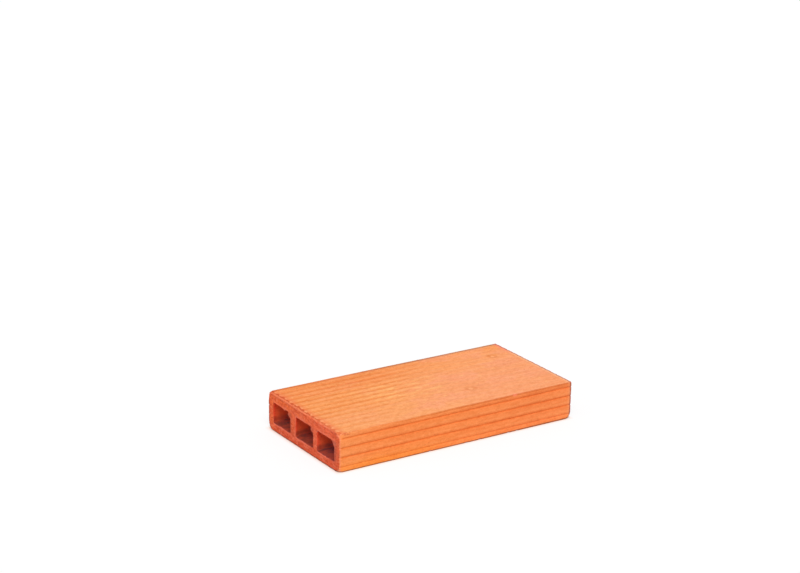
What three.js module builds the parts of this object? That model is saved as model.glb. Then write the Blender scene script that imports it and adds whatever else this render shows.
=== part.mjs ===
// Hollow clay partition brick, single row of cells: one extruded and fired piece of clay.
// Millimetres, +Z up. The brick lies on a bed face, its cells run along X, and its origin
// is the centre of that bed face.
import * as THREE from "three";

// Format
const length = 280;
const width = 135;
const thickness = 40;

// Walls of the extruded section
const cellCount = 3;
const sideWall = 9;
const webThickness = 10.5;
const bedShell = 9.2;

// Roundings left by the die
const arrisRadius = 1.2;
const cellFillet = 2.2;

// Keying grooves drawn along the brick: full ones on the two bed faces, finer ones on the
// two narrow sides. The root of each is rounded over a share of its width.
const groovePitch = 9.8;
const bedGrooveWidth = 2.6;
const bedGrooveDepth = 0.6;
const sideGrooveWidth = 1.8;
const sideGrooveDepth = 0.6;
const grooveRootShare = 0.35;

const arcSegments = 5;

const clay = new THREE.MeshStandardMaterial({
  color: 0xe88a58,
  roughness: 0.92,
  metalness: 0,
});

// Centres of the grooves on a face, evenly spaced about its middle. The outermost ones
// stay clear of the rounded arrises.
function grooveCentres(faceSpan, grooveWidth) {
  const clearOfArris = arrisRadius + grooveWidth / 2;
  const count = Math.floor((faceSpan - 2 * clearOfArris) / groovePitch) + 1;
  const margin = (faceSpan - (count - 1) * groovePitch) / 2;
  return Array.from({ length: count }, (_, i) => margin + i * groovePitch);
}

// One long face of the section, walked from corner to corner with the clay on its left:
// flat ribs with a V groove between each two, the root of the V rounded.
function walkGroovedFace(outline, corner, along, faceSpan, grooveWidth, grooveDepth) {
  const inward = new THREE.Vector2(-along.y, along.x);
  const at = (distance, depth) =>
    corner.clone().addScaledVector(along, distance).addScaledVector(inward, depth);
  const grooveRoot = grooveRootShare * grooveWidth;
  const flanksMeet = grooveDepth / (1 - grooveRootShare / 2);
  const flankEnd = flanksMeet * (1 - grooveRootShare);
  for (const centre of grooveCentres(faceSpan, grooveWidth)) {
    const nearLip = at(centre - grooveWidth / 2, 0);
    const rootStart = at(centre - grooveRoot / 2, flankEnd);
    const apex = at(centre, flanksMeet);
    const rootEnd = at(centre + grooveRoot / 2, flankEnd);
    const farLip = at(centre + grooveWidth / 2, 0);
    outline.lineTo(nearLip.x, nearLip.y);
    outline.lineTo(rootStart.x, rootStart.y);
    outline.quadraticCurveTo(apex.x, apex.y, rootEnd.x, rootEnd.y);
    outline.lineTo(farLip.x, farLip.y);
  }
}

// Outer outline of the section: X across the width, Y up the thickness, bed face on Y = 0.
function sectionOutline() {
  const outline = new THREE.Shape();
  const bed = [width, bedGrooveWidth, bedGrooveDepth];
  const side = [thickness, sideGrooveWidth, sideGrooveDepth];
  const faces = [
    { corner: [-width / 2, 0], along: [1, 0], face: bed },
    { corner: [width / 2, 0], along: [0, 1], face: side },
    { corner: [width / 2, thickness], along: [-1, 0], face: bed },
    { corner: [-width / 2, thickness], along: [0, -1], face: side },
  ];
  outline.moveTo(-width / 2 + arrisRadius, 0);
  for (const { corner, along, face } of faces) {
    const start = new THREE.Vector2(...corner);
    const heading = new THREE.Vector2(...along);
    const [span, grooveWidth, grooveDepth] = face;
    walkGroovedFace(outline, start, heading, span, grooveWidth, grooveDepth);
    const inward = new THREE.Vector2(-heading.y, heading.x);
    const centre = start
      .clone()
      .addScaledVector(heading, span - arrisRadius)
      .addScaledVector(inward, arrisRadius);
    const turn = heading.angle() - Math.PI / 2;
    outline.absarc(centre.x, centre.y, arrisRadius, turn, turn + Math.PI / 2, false);
  }
  return outline;
}

// One cell of the section, a rectangle with filleted corners.
function cellOutline(left, bottom, cellWidth, cellHeight) {
  const fillet = Math.min(cellFillet, cellWidth / 2, cellHeight / 2);
  const right = left + cellWidth;
  const top = bottom + cellHeight;
  const cell = new THREE.Path();
  cell.moveTo(left + fillet, bottom);
  cell.absarc(right - fillet, bottom + fillet, fillet, -Math.PI / 2, 0, false);
  cell.absarc(right - fillet, top - fillet, fillet, 0, Math.PI / 2, false);
  cell.absarc(left + fillet, top - fillet, fillet, Math.PI / 2, Math.PI, false);
  cell.absarc(left + fillet, bottom + fillet, fillet, Math.PI, 1.5 * Math.PI, false);
  return cell;
}

function section() {
  const outline = sectionOutline();
  const clayAcross = 2 * sideWall + (cellCount - 1) * webThickness;
  const cellWidth = (width - clayAcross) / cellCount;
  const cellHeight = thickness - 2 * bedShell;
  for (let i = 0; i < cellCount; i += 1) {
    const left = -width / 2 + sideWall + i * (cellWidth + webThickness);
    outline.holes.push(cellOutline(left, bedShell, cellWidth, cellHeight));
  }
  return outline;
}

function makeBrick() {
  const geometry = new THREE.ExtrudeGeometry(section(), {
    depth: length,
    steps: 1,
    curveSegments: arcSegments,
    bevelEnabled: false,
  });
  const acrossWidth = new THREE.Vector3(0, 1, 0);
  const upThickness = new THREE.Vector3(0, 0, 1);
  const alongLength = new THREE.Vector3(1, 0, 0);
  geometry.applyMatrix4(
    new THREE.Matrix4().makeBasis(acrossWidth, upThickness, alongLength),
  );
  const brick = new THREE.Mesh(geometry, clay);
  brick.name = "brick";
  brick.position.x = -length / 2;
  return brick;
}

const hollowClayBrick = new THREE.Group();
hollowClayBrick.add(makeBrick());

export default hollowClayBrick;
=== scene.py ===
"""Looks of a hollow clay brick lying on a bed face in a plain white studio.

The brick is one extruded, wire-cut and fired piece of clay: grooved skin on its four long
faces, torn clay on its two cut ends, and three cells running through it. Lengths are in
metres in the brick's own frame: X along the cells, Y across the width, Z up.
"""

import logging
import math
import random
from dataclasses import dataclass, field, replace
from enum import Enum
from functools import cached_property, reduce
from typing import Callable, Iterable

import bpy
import numpy as np
from mathutils import Matrix, Vector


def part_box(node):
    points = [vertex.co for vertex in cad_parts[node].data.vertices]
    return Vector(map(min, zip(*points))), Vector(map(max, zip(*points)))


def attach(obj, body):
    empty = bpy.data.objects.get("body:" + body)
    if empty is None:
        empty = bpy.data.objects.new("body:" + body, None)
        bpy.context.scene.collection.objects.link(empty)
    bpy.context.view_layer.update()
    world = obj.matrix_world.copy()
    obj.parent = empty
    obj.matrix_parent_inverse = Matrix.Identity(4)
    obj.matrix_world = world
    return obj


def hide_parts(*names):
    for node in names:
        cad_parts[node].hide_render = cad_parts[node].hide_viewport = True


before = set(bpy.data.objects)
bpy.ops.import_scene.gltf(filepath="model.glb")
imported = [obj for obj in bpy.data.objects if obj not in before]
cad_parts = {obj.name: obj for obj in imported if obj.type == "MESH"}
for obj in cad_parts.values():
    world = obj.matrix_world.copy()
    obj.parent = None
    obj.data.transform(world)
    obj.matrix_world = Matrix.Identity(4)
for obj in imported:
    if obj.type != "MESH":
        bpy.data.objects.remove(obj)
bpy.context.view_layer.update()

log = logging.getLogger("clay_brick")

MM = 0.001
TOUCH = 0.01 * MM
X, Y, Z = range(3)
ALONG = Vector((1, 0, 0))
ACROSS = Vector((0, 1, 0))
UP = Vector((0, 0, 1))

Colour = tuple[float, float, float, float]
Triple = tuple[float, float, float]
EdgeTest = Callable[[np.ndarray, np.ndarray], np.ndarray]


def shown(red: int, green: int, blue: int) -> Colour:
    """Turns a colour as a screen shows it into the linear colour that a shader takes.

    Args:
        red: Red, 0 to 255.
        green: Green, 0 to 255.
        blue: Blue, 0 to 255.

    Returns:
        The linear colour with an alpha of 1.
    """
    channels = (value / 255 for value in (red, green, blue))
    linear = [c / 12.92 if c <= 0.04045 else ((c + 0.055) / 1.055) ** 2.4 for c in channels]
    return (linear[0], linear[1], linear[2], 1.0)


def ease(values: np.ndarray, start: float, stop: float) -> np.ndarray:
    """Runs from 0 at start to 1 at stop in a soft S.

    Args:
        values: Where to read the S.
        start: Value that gives 0.
        stop: Value that gives 1, above or below start.

    Returns:
        One number from 0 to 1 for each value.
    """
    share = np.clip((values - start) / (stop - start), 0, 1)
    return share * share * (3 - 2 * share)


def nearest(places: np.ndarray, middles: np.ndarray) -> np.ndarray:
    """Gives how far each place lies from the nearest of some middles."""
    return np.abs(places[:, None] - middles[None, :]).min(axis=1)


class Way(Enum):
    """The way in which a relief moves the clay."""

    SQUARE = "NORMAL"
    LENGTHWISE = "X"
    UPWARD = "Z"


class Bench:
    """The workbench: selecting, cutting and finishing meshes as by hand."""

    @staticmethod
    def clear() -> None:
        """Leaves edit mode and deselects every object."""
        if bpy.context.object and bpy.context.object.mode != "OBJECT":
            bpy.ops.object.mode_set(mode="OBJECT")
        bpy.ops.object.select_all(action="DESELECT")

    @staticmethod
    def take(piece: bpy.types.Object) -> None:
        """Makes a piece the only selected and active object.

        Args:
            piece: The piece.
        """
        Bench.clear()
        piece.select_set(True)
        bpy.context.view_layer.objects.active = piece

    @staticmethod
    def block(name: str, size: Vector, centre: Vector) -> bpy.types.Object:
        """Adds a block of clay at its size and place.

        Args:
            name: Name of the new piece.
            size: Full size along X, Y and Z.
            centre: Centre of the block.

        Returns:
            The block, its size and place applied to its mesh.
        """
        Bench.clear()
        bpy.ops.mesh.primitive_cube_add(size=1, location=centre, scale=size)
        return Bench.settle(name)

    @staticmethod
    def settle(name: str) -> bpy.types.Object:
        """Names the new active piece and applies its place, turn and size to its mesh.

        Args:
            name: Name of the piece.

        Returns:
            The piece, its object at the origin.
        """
        bpy.ops.object.transform_apply(location=True, rotation=True, scale=True)
        made = bpy.context.object
        made.name = name
        made.data.name = name
        return made

    @staticmethod
    def points(piece: bpy.types.Object) -> np.ndarray:
        """Reads where the points of a piece are.

        Args:
            piece: The piece.

        Returns:
            Its points as an (N, 3) array.
        """
        flat = np.empty(len(piece.data.vertices) * 3)
        piece.data.vertices.foreach_get("co", flat)
        return flat.reshape(-1, 3)

    @staticmethod
    def pick_edges(piece: bpy.types.Object, wanted: EdgeTest) -> None:
        """Enters edit mode with the edges selected that a test on their two ends wants.

        Args:
            piece: The piece to select on.
            wanted: Takes the two (N, 3) arrays of edge ends and gives N truth values.
        """
        Bench.take(piece)
        mesh = piece.data
        ends = np.empty(len(mesh.edges) * 2, np.int64)
        mesh.edges.foreach_get("vertices", ends)
        ends = ends.reshape(-1, 2)
        points = Bench.points(piece)
        chosen = wanted(points[ends[:, 0]], points[ends[:, 1]])
        touched = np.zeros(len(mesh.vertices), bool)
        touched[ends[chosen].ravel()] = True
        mesh.polygons.foreach_set("select", np.zeros(len(mesh.polygons), bool))
        mesh.vertices.foreach_set("select", touched)
        mesh.edges.foreach_set("select", chosen)
        bpy.context.tool_settings.mesh_select_mode = (False, True, False)
        bpy.ops.object.mode_set(mode="EDIT")

    @staticmethod
    def pick_points(piece: bpy.types.Object, chosen: np.ndarray) -> None:
        """Enters edit mode with some points selected, and the edges and faces between them.

        Args:
            piece: The piece to select on.
            chosen: One truth value for each point.
        """
        Bench.take(piece)
        mesh = piece.data
        mesh.polygons.foreach_set("select", np.zeros(len(mesh.polygons), bool))
        mesh.edges.foreach_set("select", np.zeros(len(mesh.edges), bool))
        mesh.vertices.foreach_set("select", chosen)
        bpy.context.tool_settings.mesh_select_mode = (True, False, False)
        bpy.ops.object.mode_set(mode="EDIT")
        bpy.ops.mesh.select_mode(type="VERT")

    @staticmethod
    def soft(reach: float, connected: bool = False) -> dict[str, object]:
        """Gives the settings that let the clay around a selection follow its move.

        Args:
            reach: How far around it the clay follows.
            connected: Whether the reach runs along the surface only.

        Returns:
            Settings for a transform operator.
        """
        return {
            "use_proportional_edit": True,
            "proportional_edit_falloff": "SMOOTH",
            "proportional_size": reach,
            "use_proportional_connected": connected,
        }

    @staticmethod
    def done() -> None:
        """Leaves edit mode."""
        bpy.ops.object.mode_set(mode="OBJECT")

    @staticmethod
    def pull(
        piece: bpy.types.Object,
        place: Triple,
        move: Triple,
        reach: float,
        grip: float = TOUCH,
        connected: bool = False,
    ) -> None:
        """Takes hold of a piece at the point nearest to a place and pulls the clay along.

        Args:
            piece: The piece to shape.
            place: Where to take hold of it.
            move: How far the point moves.
            reach: How far around the point the clay follows.
            grip: How much farther off than the nearest point others are still held.
            connected: Whether the reach runs along the surface only.
        """
        gaps = np.linalg.norm(Bench.points(piece) - np.array(place), axis=1)
        Bench.pick_points(piece, gaps <= gaps.min() + grip)
        bpy.ops.transform.translate(value=move, **Bench.soft(reach, connected))
        Bench.done()

    @staticmethod
    def slice(piece: bpy.types.Object, places: Iterable[float], axis: Vector) -> None:
        """Cuts the whole mesh across at each place along an axis, leaving it in one piece.

        Args:
            piece: The piece to cut.
            places: Distances of the cuts from the origin.
            axis: Unit direction that the cuts are square to.
        """
        Bench.take(piece)
        bpy.ops.object.mode_set(mode="EDIT")
        for place in places:
            bpy.ops.mesh.select_all(action="SELECT")
            bpy.ops.mesh.bisect(plane_co=axis * place, plane_no=axis, threshold=TOUCH)
        Bench.done()

    @staticmethod
    def finish_with(piece: bpy.types.Object, kind: str, **settings: object) -> None:
        """Adds one modifier to a piece and applies it.

        Args:
            piece: The piece to finish.
            kind: Blender's name of the modifier type.
            **settings: The modifier's settings.
        """
        Bench.take(piece)
        modifier = piece.modifiers.new(kind.lower(), kind)
        for key, value in settings.items():
            setattr(modifier, key, value)
        bpy.ops.object.modifier_apply(modifier=modifier.name)

    @staticmethod
    def carve(piece: bpy.types.Object, cutters: list[bpy.types.Object]) -> None:
        """Cuts several tools out of a piece at once and throws them away.

        Args:
            piece: The piece to cut.
            cutters: Closed meshes that take the clay away.
        """
        Bench.clear()
        for cutter in cutters:
            cutter.select_set(True)
        bpy.context.view_layer.objects.active = cutters[0]
        if len(cutters) > 1:
            bpy.ops.object.join()
        tool = bpy.context.object
        Bench.finish_with(
            piece, "BOOLEAN", object=tool, operation="DIFFERENCE", solver="EXACT"
        )
        bpy.data.objects.remove(tool)

    @staticmethod
    def weigh(piece: bpy.types.Object, group_name: str, weights: np.ndarray) -> None:
        """Writes how strongly a relief works on each point, in twenty steps.

        Args:
            piece: The piece that gets the vertex group.
            group_name: Name of the group.
            weights: One weight from 0 to 1 for each point.
        """
        group = piece.vertex_groups.new(name=group_name)
        levels = 20
        steps = np.round(weights * levels).astype(int)
        for step in range(1, levels + 1):
            chosen = np.flatnonzero(steps == step)
            if len(chosen):
                group.add(chosen.tolist(), step / levels, "REPLACE")


@dataclass(frozen=True)
class Relief:
    """One kind of unevenness of the clay, pressed into the points of a group.

    The lump is the size of one lump along X, Y and Z in millimetres, and the folds give the finer
    detail. A point stays where it is where the pattern, from 0 to 1, is at the level.
    """

    group: str
    lump: Triple
    depth: float
    way: Way = Way.SQUARE
    level: float = 1.0
    contrast: float = 1.6
    folds: int = 2

    def press(self, piece: bpy.types.Object) -> None:
        """Moves the group's points by a cloud pattern whose lumps have the relief's size.

        Args:
            piece: The piece, with the vertex group on it.
        """
        pattern = bpy.data.textures.new(self.group, "CLOUDS")
        pattern.noise_basis = "IMPROVED_PERLIN"
        pattern.noise_scale = 1
        pattern.noise_depth = self.folds
        pattern.contrast = self.contrast
        Bench.clear()
        bpy.ops.object.empty_add(location=(0, 0, 0))
        ruler = bpy.context.object
        ruler.scale = [size * MM for size in self.lump]
        bpy.context.view_layer.update()
        Bench.finish_with(
            piece,
            "DISPLACE",
            texture=pattern,
            texture_coords="OBJECT",
            texture_coords_object=ruler,
            direction=self.way.value,
            vertex_group=self.group,
            strength=self.depth,
            mid_level=self.level,
        )
        bpy.data.objects.remove(ruler)
        bpy.data.textures.remove(pattern)


@dataclass(frozen=True)
class Grooves:
    """Keying grooves drawn along a long face of the brick.

    The clay is dark up to dark_to from the middle of a groove and no more at dark_no_more. The
    spill is how far past its half width a groove draws the clay in, as a share of it.
    """

    depth: float
    half_width: float
    dark_to: float
    dark_no_more: float
    pitch: float = 9.8 * MM
    spill: float = 0.02
    cut_shares: tuple[float, ...] = (0.0, 0.28, 0.62, 1.0)

    @property
    def cuts(self) -> list[float]:
        """Distances from a groove's middle of the lines that it is modelled on."""
        return [share * self.half_width for share in self.cut_shares]

    def centres(self, span: float, corner: float) -> list[float]:
        """Gives the places of the grooves on a face.

        Args:
            span: Width of the face.
            corner: Radius of the arrises at its two edges.

        Returns:
            Distances from the middle of the face.
        """
        count = math.floor((span - 2 * (corner + self.half_width)) / self.pitch) + 1
        first = -(count - 1) * self.pitch / 2
        return [first + i * self.pitch for i in range(count)]

    def darkness(self, places: np.ndarray, middles: np.ndarray) -> np.ndarray:
        """Gives 1 near the middle of a groove and 0 on the ribs, in a soft S."""
        return 1 - ease(nearest(places, middles), self.dark_to, self.dark_no_more)


@dataclass(frozen=True)
class Section:
    """Section of the brick, square to its length.

    The grooved skin reaches by skin below the roots of the bed grooves, and the colour of any
    groove by under_root below its root. The lower arrises and the lower fillets of the cells are
    tighter than the upper ones.
    """

    width: float
    thickness: float
    side_wall: float = 9 * MM
    web: float = 10.5 * MM
    bed_shell: float = 9.2 * MM
    cells: int = 3
    arris: float = 1.2 * MM
    low_arris: float = 0.35 * MM
    arris_steps: int = 5
    cell_fillet: float = 2.2 * MM
    low_cell_fillet: float = 1.2 * MM
    fillet_steps: int = 6
    rib_cuts: int = 3
    skin: float = 0.3 * MM
    under_root: float = 0.5 * MM
    bed: Grooves = Grooves(0.3 * MM, 2.0 * MM, dark_to=0.4 * MM, dark_no_more=3.6 * MM)
    side: Grooves = Grooves(0.55 * MM, 1.0 * MM, dark_to=0.2 * MM, dark_no_more=1.4 * MM)

    @property
    def cell_width(self) -> float:
        """Clear width of one cell."""
        return (self.width - 2 * self.side_wall - (self.cells - 1) * self.web) / self.cells

    @property
    def cell_height(self) -> float:
        """Clear height of the cells."""
        return self.thickness - 2 * self.bed_shell

    @property
    def arris_inset(self) -> float:
        """How far a rounded arris lies inside the sharp one, along both faces."""
        return self.arris * (math.sqrt(2) - 1)

    def cell_middles(self) -> list[float]:
        """Gives the middle of each cell across the width."""
        step = self.cell_width + self.web
        return [(i - (self.cells - 1) / 2) * step for i in range(self.cells)]

    def bed_grooves(self) -> np.ndarray:
        """Gives the Y of each groove on the two bed faces."""
        return np.array(self.bed.centres(self.width, self.arris))

    def side_grooves(self) -> np.ndarray:
        """Gives the Z of each groove on the two narrow sides."""
        return np.array(self.side.centres(self.thickness, self.arris)) + self.thickness / 2

    def depths(self, points: np.ndarray) -> tuple[np.ndarray, np.ndarray]:
        """Gives how deep points lie under the nearer narrow side and under the nearer bed face."""
        from_side = self.width / 2 - np.abs(points[:, Y])
        return from_side, np.minimum(points[:, Z], self.thickness - points[:, Z])

    def on_skin(self, points: np.ndarray) -> np.ndarray:
        """Tells which points belong to the grooved skin."""
        return np.minimum(*self.depths(points)) < self.bed.depth + self.skin

    def lines(self, centres: np.ndarray, grooves: Grooves) -> list[float]:
        """Gives the lines that a grooved face is modelled on.

        Args:
            centres: Places of the grooves on the face.
            grooves: The kind of groove.

        Returns:
            Places of the lines, at the grooves and on the ribs between them.
        """
        found = {c + s * cut for c in centres for cut in grooves.cuts for s in (-1, 1)}
        reach = grooves.half_width
        for left, right in zip(centres, centres[1:]):
            start, stop = left + reach, right - reach
            share = (stop - start) / (self.rib_cuts + 1)
            found |= {start + share * (i + 1) for i in range(self.rib_cuts)}
        return sorted(found)


@dataclass(frozen=True)
class Mouth:
    """Mouth of a cell at a cut end, where the wire has rounded and torn the rim.

    Each step gives how far a line lies from the cut end and how far the mouth opens there. The
    walls are ragged up to all_torn from the end and only wavy from torn_reach on. Each pull gives
    how far the wire has dragged one near mouth towards -Y, how much wider it has left it and how
    far the clay above has sunk.
    """

    overrun: float = 5 * MM
    top_share: float = 0.4
    steps: tuple[tuple[float, float], ...] = (
        (0.7 * MM, 0.04 * MM),
        (0.35 * MM, 0.1 * MM),
        (0.1 * MM, 0.18 * MM),
    )
    slack: float = 0.05 * MM
    torn_reach: float = 5 * MM
    all_torn: float = 0.5 * MM
    wavy: Relief = Relief("walls", (45, 6, 6), 0.5 * MM, level=0.5)
    ragged: Relief = Relief("torn_mouth", (9, 4, 4), 0.9 * MM, level=0.5, folds=3)
    pulls: tuple[Triple, ...] = (
        (0.8 * MM, -0.5 * MM, 0.7 * MM),
        (2.8 * MM, 0.9 * MM, 0.9 * MM),
        (1.4 * MM, 1.3 * MM, 0.3 * MM),
    )
    pull_reach: float = 9 * MM

    @property
    def mean_pull(self) -> float:
        """How far the near mouths lie towards -Y on the whole."""
        return sum(pull[0] for pull in self.pulls) / len(self.pulls)


@dataclass(frozen=True)
class Burr:
    """Clay that the wire has dragged into the near mouth of a cell, pushed along Y and Z."""

    y: float
    z: float
    push: tuple[float, float]
    reach: float


@dataclass(frozen=True)
class WireCut:
    """The torn clay of a cut end, with a lip dragged up along its top edge.

    The near end is sunk by the recess under its lip, less in front: by the front_share of it up to
    the Y named front, and by all of it from the Y named back on.
    """

    give: float = 3.2 * MM
    lip: float = 1.5 * MM
    lip_step: float = 0.45 * MM
    edge_wear: Relief = Relief("end_edge", (2.6, 2.6, 2.6), 0.4 * MM, folds=3)
    recess: Relief = Relief("near_recess", (50, 50, 50), 0.7 * MM, Way.LENGTHWISE, level=0.0, contrast=0.3)
    tear: Relief = Relief("near_end", (9, 5.5, 1.1), 0.45 * MM, Way.LENGTHWISE, level=0.4, folds=3)
    lumps: Relief = Relief("near_end", (9, 8, 5), 0.35 * MM, Way.LENGTHWISE, level=0.4)
    edge_reach: float = 1.2 * MM
    far_share: float = 0.25
    front_share: float = 0.45
    front: float = -25 * MM
    back: float = 20 * MM
    lines: tuple[float, ...] = (0.5 * MM, 1.1 * MM, 1.5 * MM, 1.95 * MM, 2.8 * MM)

    def reliefs(self) -> list[Relief]:
        """Lists the unevenness of the two cut ends, the far one the calmer.

        Returns:
            The reliefs: the worn edges, the recess under the lip, then tears and lumps.
        """
        near = (self.tear, self.lumps)
        far = (replace(kind, group="far_end", depth=-self.far_share * kind.depth) for kind in near)
        return [self.edge_wear, self.recess, *near, *far]


@dataclass(frozen=True)
class Chip:
    """A small piece of clay knocked off an edge."""

    place: Vector
    outward: Vector
    radius: float
    depth: float
    blur: float = 0.6 * MM

    @property
    def centre(self) -> Vector:
        """Centre of the ball that takes the chip out."""
        return self.place + self.outward.normalized() * (self.radius - self.depth)

    def bared(self, points: np.ndarray) -> np.ndarray:
        """Gives 1 for points on the broken face and 0 away from it."""
        apart = np.linalg.norm(points - np.array(self.centre), axis=1)
        return ease(apart, self.radius + self.blur, self.radius)


@dataclass(frozen=True)
class Wear:
    """A corner of the brick that handling has rounded off, told by the signs of its place."""

    along: int
    across: int
    upward: int
    push: Triple
    reach: float


@dataclass(frozen=True)
class LimePop:
    """A shallow crater where a grain of lime has swollen under the skin, with a nub in it."""

    x: float
    y: float
    radius: float
    nub: float
    depth: float = 0.35 * MM
    nub_height: float = 0.28 * MM
    nub_blur: tuple[float, float] = (0.5 * MM, -0.7 * MM)
    ring_blur: tuple[float, float] = (1.0 * MM, -0.8 * MM)

    def apart(self, points: np.ndarray) -> np.ndarray:
        """Gives how far points lie from the middle of the crater, seen from above."""
        return np.hypot(points[:, X] - self.x, points[:, Y] - self.y)

    def shares(self, points: np.ndarray) -> tuple[np.ndarray, np.ndarray]:
        """Tells where the pale nub and the whole crater lie.

        Args:
            points: An (N, 3) array of points.

        Returns:
            For the nub and for the crater, one share from 0 to 1 for each point.
        """
        apart = self.apart(points)
        nub = ease(apart, *(self.nub + blur for blur in self.nub_blur))
        return nub, ease(apart, *(self.radius + blur for blur in self.ring_blur))


@dataclass
class ClayBrick:
    """The whole brick: extruded, wire-cut and fired as one piece of clay.

    The chips are drawn by lot within the limits given here, their radii and depths in
    millimetres. The crust is the clay under the upper bed face that a lime pop moves.
    """

    length: float
    section: Section
    mouth: Mouth = field(default_factory=Mouth)
    wire_cut: WireCut = field(default_factory=WireCut)
    end_band: float = 12 * MM
    near_band: float = 32 * MM
    band_cuts: tuple[int, ...] = (14, 10, 96, 10, 14)
    cell_cuts: int = 70
    core_spacing: float = 2.4 * MM
    lines_across: int = 5
    lines_up: int = 3
    chip_count: int = 16
    chip_gap: float = 2 * MM
    chip_radii: tuple[float, float] = (2.2, 4.2)
    chip_depths: tuple[float, float] = (0.35, 0.8)
    chips_along: float = 0.95
    chips_across: float = 0.9
    chip_break: Relief = Relief("break", (2.2, 2.2, 2.2), 0.8 * MM, level=0.5, folds=1)
    corner_chip: tuple[float, float] = (4.5 * MM, 0.6 * MM)
    seed: int = 11
    skin_reliefs: tuple[Relief, ...] = (
        Relief("skin", (60, 14, 14), 0.22 * MM),
        Relief("skin", (24, 1.9, 1.9), 0.1 * MM),
        Relief("arris", (9, 5, 5), 0.5 * MM, contrast=1.8),
    )
    corner_sag: float = 0.35 * MM
    sag_from: float = -20 * MM
    groove_shift: float = 0.4 * MM
    # Centre of the painted highlight on the shaded flank of each bed groove.
    lit_flank_shift: float = -1.0 * MM
    crust: float = 2 * MM
    pop_cuts: int = 3
    pop_margin: float = 1.5
    nearly_all: float = 0.9
    ball_steps: int = 3
    sharp_angle: float = 40.0
    burr_hold: float = 2.5 * MM
    burr_depths: tuple[float, ...] = (-2 * MM, 0.0)
    burrs: tuple[Burr, ...] = (
        Burr(-60.0 * MM, 29.5 * MM, push=(3.0 * MM, -1.4 * MM), reach=6.5 * MM),
        Burr(-19.2 * MM, 28.5 * MM, push=(2.6 * MM, -0.5 * MM), reach=4.5 * MM),
        Burr(24.2 * MM, 28.5 * MM, push=(2.8 * MM, -0.6 * MM), reach=4.5 * MM),
        Burr(36.9 * MM, 30.8 * MM, push=(0.0, -0.8 * MM), reach=3.2 * MM),
    )
    worn: tuple[Wear, ...] = (
        Wear(-1, 1, -1, push=(0.6 * MM, -1.5 * MM, 2.2 * MM), reach=8 * MM),
        Wear(-1, -1, 1, push=(0.3 * MM, 1.9 * MM, -1.9 * MM), reach=7 * MM),
        Wear(1, -1, -1, push=(-1.6 * MM, 0.6 * MM, 1.4 * MM), reach=6 * MM),
        Wear(-1, -1, -1, push=(0.9 * MM, 1.1 * MM, 1.3 * MM), reach=5 * MM),
        Wear(-1, 1, 1, push=(0.8 * MM, -1.1 * MM, -0.8 * MM), reach=5 * MM),
    )
    pops: tuple[LimePop, ...] = (
        LimePop(40.4 * MM, -29.9 * MM, radius=6.6 * MM, nub=2.6 * MM),
        LimePop(113.9 * MM, 36.1 * MM, radius=5.4 * MM, nub=1.8 * MM),
    )

    @property
    def half(self) -> float:
        """Half of the length."""
        return self.length / 2

    def build(self) -> bpy.types.Object:
        """Models the brick from a block of clay.

        Returns:
            The finished mesh object, at the origin.
        """
        brick = self.draw_column()
        self.press_grooves(brick)
        self.divide_length(brick)
        cells = zip(self.section.cell_middles(), self.mouth.pulls)
        Bench.carve(brick, [self.cell_core(middle, pull) for middle, pull in cells])
        chips = self.plan_chips()
        Bench.carve(brick, [self.chip_ball(chip) for chip in chips])
        self.mark(brick, chips)
        self.wear_corners(brick)
        self.roughen(brick)
        self.raise_lime_pops(brick)
        self.mark_pops(brick)
        self.true_up(brick)
        self.smooth(brick)
        return brick

    def draw_column(self) -> bpy.types.Object:
        """Draws the column of clay through the die, with rounded arrises and its lines.

        Returns:
            The column, cut to length.
        """
        section = self.section
        size = Vector((self.length, section.width, section.thickness))
        column = Bench.block("fired_brick", size, UP * section.thickness / 2)
        for level, radius in ((section.thickness, section.arris), (0.0, section.low_arris)):
            Bench.pick_edges(
                column,
                lambda starts, stops: self.full_length(starts, stops)
                & (np.abs(starts[:, Z] - level) < TOUCH),
            )
            bpy.ops.mesh.bevel(offset=radius, segments=section.arris_steps, affect="EDGES")
            Bench.done()
        Bench.slice(column, section.lines(section.bed_grooves(), section.bed), ACROSS)
        Bench.slice(column, section.lines(section.side_grooves(), section.side), UP)
        for depth in self.wire_cut.lines:
            Bench.slice(column, (depth, section.thickness - depth), UP)
        return column

    def full_length(self, starts: np.ndarray, stops: np.ndarray) -> np.ndarray:
        """Tells which edges run along the whole length."""
        return np.abs(starts[:, X] - stops[:, X]) > self.nearly_all * self.length

    def press_grooves(self, column: bpy.types.Object) -> None:
        """Presses the keying grooves into the four long faces.

        Args:
            column: The column of clay, with a line at the root of each groove.
        """
        section = self.section
        beds, sides = section.bed_grooves(), section.side_grooves()
        top, flank = section.thickness, section.width / 2
        faces = (
            (Z, top, Y, beds, section.bed, -UP),
            (Z, 0.0, Y, beds, section.bed, UP),
            (Y, flank, Z, sides, section.side, -ACROSS),
            (Y, -flank, Z, sides, section.side, ACROSS),
        )
        for level_axis, level, groove_axis, centres, grooves, inward in faces:

            def at_root(ends: np.ndarray) -> np.ndarray:
                """Tells which edge ends lie at the root of a groove of this face."""
                on_face = np.abs(ends[:, level_axis] - level) < TOUCH
                return on_face & (nearest(ends[:, groove_axis], centres) < TOUCH)

            Bench.pick_edges(
                column,
                lambda starts, stops: self.full_length(starts, stops) & at_root(starts) & at_root(stops),
            )
            reach = grooves.half_width * (1 + grooves.spill)
            bpy.ops.transform.translate(value=inward * grooves.depth, **Bench.soft(reach))
            Bench.done()

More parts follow.
